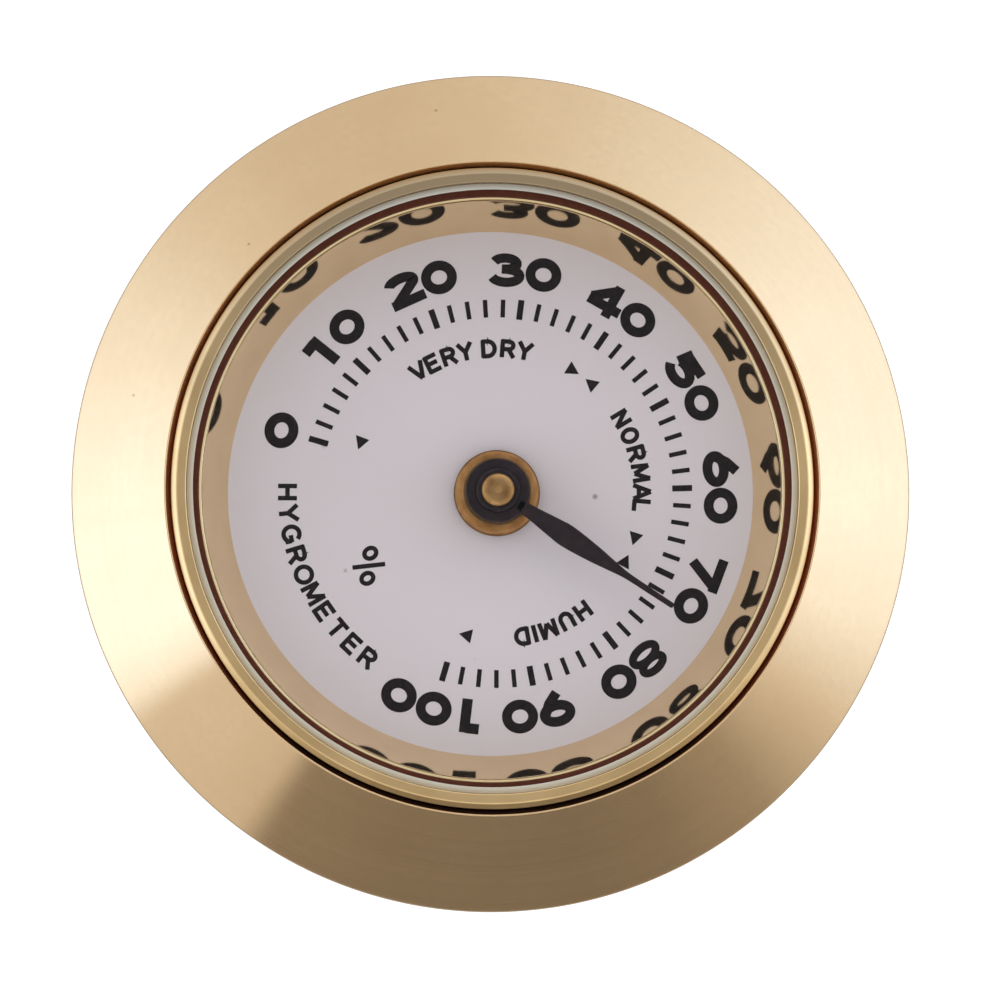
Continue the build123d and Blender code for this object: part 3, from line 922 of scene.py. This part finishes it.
def make_pointer(paint):
    """Leaf-shaped blade with bevelled edges, on a ring that sits on the boss."""
    half = smooth_line([*BLADE_STATIONS, (POINTER_LENGTH - TIP_HALF_WIDTH / 2, TIP_HALF_WIDTH)], 5)
    half.append((POINTER_LENGTH, TIP_HALF_WIDTH / 2))
    outline = half + [(along, -across) for along, across in reversed(half)]
    low, top = blade_low.z, blade_high.z
    levels = ((low, 1.0), (top - BLADE_BEVEL, 1.0), (top, 0.0))
    turn = Matrix.Rotation(radians(scale_angle(READING)), 2)
    vertices = []
    for height, full in levels:
        for along, across in outline:
            inset = 0 if full else min(BLADE_BEVEL, abs(across) * 0.6)
            placed = turn @ Vector((along, across - inset * (1 if across > 0 else -1)))
            vertices.append((MOVEMENT.x + placed.x, MOVEMENT.y + placed.y, height))
    count = len(outline)
    faces = [tuple(range(count - 1, -1, -1)), tuple(range(2 * count, 3 * count))]
    for level in range(2):
        for i in range(count):
            j = (i + 1) % count
            a, b = level * count, (level + 1) * count
            faces.append((a + i, a + j, b + j, b + i))
    blade = finished_mesh("pointer_blade", vertices, faces, sharp=25)
    dress(blade, paint, "needle", "pointer")
    outer = (boss_high.x - boss_low.x) / 2
    corners = ((BOSS_STEP_RADIUS, low), (outer, low), (outer, top), (BOSS_STEP_RADIUS, top))
    outline = rounded(corners, (0, 0, SMALL_ROUND, 0.03))
    collar = lathe("pointer_ring", outline, (MOVEMENT.x, MOVEMENT.y), HUB_SEGMENTS)
    dress(collar, paint, "needle", "pointer")
    return blade


def finish_hidden_nodes():
    """Materials for the CAD nodes whose shapes stay."""
    brass = aged_brass("movement_brass", MOVEMENT)
    steel = rolled_steel("spring_steel", (0.56, 0.55, 0.52))
    strip = rolled_steel("coil_strip", (0.66, 0.42, 0.27))
    finishes = {
        black_plastic(): ("case_cup",),
        brass: (
            "bush_washer", "bush_nut", "arbor_washer", "coil_collet", "anchor_stud", "anchor_wedge",
            "adjuster_screw",
        ),
        steel: ("friction_washer", "adjuster_arm"),
        strip: ("humidity_coil",),
    }
    for material, names in finishes.items():
        for name in names:
            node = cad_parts[name]
            node.data.materials.clear()
            node.data.materials.append(material)


# ---------------------------------------------------------------- stage, light and camera

CAMERA_DISTANCE = 350.0
CAMERA_TILT = 3.9
CAMERA_TILT_TOWARDS = 250.4
VIEW_WIDTH = 43.7
VIEW_CENTRE = (0.18, -0.11)


def make_camera():
    """A long lens almost straight above the dial, rolled so that the dial lies as it does in its picture."""
    right = Vector((cos(radians(PHOTO_ROLL)), sin(radians(PHOTO_ROLL)), 0))
    up = Vector((-right.y, right.x, 0))
    lean = radians(CAMERA_TILT_TOWARDS)
    sideways = right * cos(lean) + up * sin(lean)
    back = sideways * sin(radians(CAMERA_TILT)) + Vector((0, 0, 1)) * cos(radians(CAMERA_TILT))
    target = right * VIEW_CENTRE[0] + up * VIEW_CENTRE[1] + Vector((0, 0, FLANGE_EDGE_TOP))
    data = bpy.data.cameras.new("camera")
    data.lens = data.sensor_width * CAMERA_DISTANCE / VIEW_WIDTH
    camera = bpy.data.objects.new("camera", data)
    bpy.context.scene.collection.objects.link(camera)
    upright = (up - back * up.dot(back)).normalized()
    across = upright.cross(back)
    camera.matrix_world = Matrix.Translation((target + back * CAMERA_DISTANCE) * MM) @ Matrix(
        (across, upright, back)).transposed().to_4x4()
    data.clip_start, data.clip_end = 0.01, 20
    bpy.context.scene.camera = camera


def make_floor():
    """A plain pale floor, wide enough to fill every view."""
    mesh = bpy.data.meshes.new("floor")
    reach = FLOOR_REACH
    corners = [(-reach, -reach, 0), (reach, -reach, 0), (reach, reach, 0), (-reach, reach, 0)]
    mesh.from_pydata(corners, [], [(0, 1, 2, 3)])
    floor = bpy.data.objects.new("floor", mesh)
    floor.location.z = -FLOOR_DROP
    bpy.context.scene.collection.objects.link(floor)
    n = new_nodes("floor_paper")
    n.set(Roughness=0.9)
    n.shader.inputs["Base Color"].default_value = (0.25, 0.25, 0.25, 1)
    n.shader.inputs["Emission Color"].default_value = (1, 1, 1, 1)
    seen = n.add("ShaderNodeLightPath").outputs["Is Camera Ray"]
    n.link(n.map_range(seen, (0, 1), (FLOOR_GLOW, 1)), n.shader.inputs["Emission Strength"])
    mesh.materials.append(n.owner)


# Brightness round the horizon, as (azimuth in the picture, brightness)
HORIZON = (
    (0, 1.49), (30, 1.42), (60, 1.09), (75, 0.94), (90, 0.82), (105, 0.76), (120, 0.78), (135, 0.92),
    (150, 1.16), (165, 1.37), (180, 1.55), (200, 1.53), (207, 1.30), (211, 0.78), (225, 0.72), (232, 0.66),
    (236, 0.16), (255, 0.10), (285, 0.08), (300, 0.12), (315, 0.28), (330, 0.76), (345, 1.29),
)
# Brightness at which a panel is neutral
PLAIN_LEVEL = 0.7
# Brightness of the dome, the height where it takes over from the panels, and over how much it does so
OVERHEAD = 0.84
HORIZON_TOP = 0.35
HORIZON_FADE = 0.25

# Dark patch near the zenith, where the camera and its stand block the light
PATCH_LEVEL = 0.09
PATCH_TOWARDS = 70.4
PATCH_RADII = (7.0, 14.0)

# Light that the floor sends up, where the camera's own view of it is 1
FLOOR_GLOW = 0.2
FLOOR_REACH = 3.0
FLOOR_DROP = 0.00002


def panel_colour(level):
    """Panels brighter than the plain level are cool, and dimmer ones are warm."""
    share = level / PLAIN_LEVEL
    green, blue = (1.28, 1.66) if share > 1 else (1.1, 1.3)
    return level, PLAIN_LEVEL * share ** green, PLAIN_LEVEL * share ** blue


def horizon_panels(n, direction):
    """The panels' light in a direction, by its azimuth alone."""
    azimuth = n.math("ARCTAN2", direction["Y"], direction["X"])
    stops = sorted((((angle + 180) % 360) / 360, level) for angle, level in HORIZON)
    around = [(0.0, stops[-1][1]), *stops, (1.0, stops[0][1])]
    brightest = max(max(panel_colour(level)) for _, level in around)
    tints = [(position, tuple(c / brightest for c in panel_colour(level))) for position, level in around]
    panels = n.vector_math("SCALE", n.ramp(n.map_range(azimuth, (-pi, pi)), *tints))[0]
    panels.node.inputs["Scale"].default_value = brightest
    return panels


def make_light():
    """Soft studio light: an even dome overhead and brighter or darker panels low down all round."""
    world = bpy.data.worlds.new("studio")
    bpy.context.scene.world = world
    n = Nodes(world)
    rolled = n.add("ShaderNodeVectorRotate", rotation_type="Z_AXIS")
    rolled.inputs["Angle"].default_value = radians(-PHOTO_ROLL)
    n.link(n.add("ShaderNodeTexCoord").outputs["Generated"], rolled.inputs["Vector"])
    direction = n.split(rolled.outputs[0])
    fade = (HORIZON_TOP, HORIZON_TOP + HORIZON_FADE)
    overhead = n.map_range(direction["Z"], fade, interpolation="SMOOTHSTEP")
    dome = n.mix(overhead, horizon_panels(n, direction), (OVERHEAD, OVERHEAD, OVERHEAD))
    lean, turn = radians(CAMERA_TILT), radians(PATCH_TOWARDS)
    middle = (sin(lean) * cos(turn), sin(lean) * sin(turn), cos(lean))
    inner, outer = (cos(radians(angle)) for angle in PATCH_RADII)
    nearness = n.vector_math("DOT_PRODUCT", rolled.outputs[0], middle)["Value"]
    patch = n.map_range(nearness, (outer, inner), interpolation="SMOOTHSTEP")
    shaded = n.mix(patch, dome, (PATCH_LEVEL, PATCH_LEVEL, PATCH_LEVEL))
    seen = n.add("ShaderNodeLightPath").outputs["Is Camera Ray"]
    n.link(n.mix(seen, shaded, (1, 1, 1)), n.tree.nodes["Background"].inputs["Color"])
    bpy.context.scene.view_settings.view_transform = "Standard"
    bpy.context.scene.view_settings.look = "None"


# ---------------------------------------------------------------- the whole scene

make_camera()
make_floor()
make_light()
make_bezel()
make_ring()
make_lens()
make_gasket()
make_reflector()
make_dial()
printing_ink = dial_ink()
print_ticks(printing_ink)
print_numerals(printing_ink)
print_words(printing_ink)
make_bush()
make_boss()
make_arbor()
make_pointer(pointer_paint())
finish_hidden_nodes()
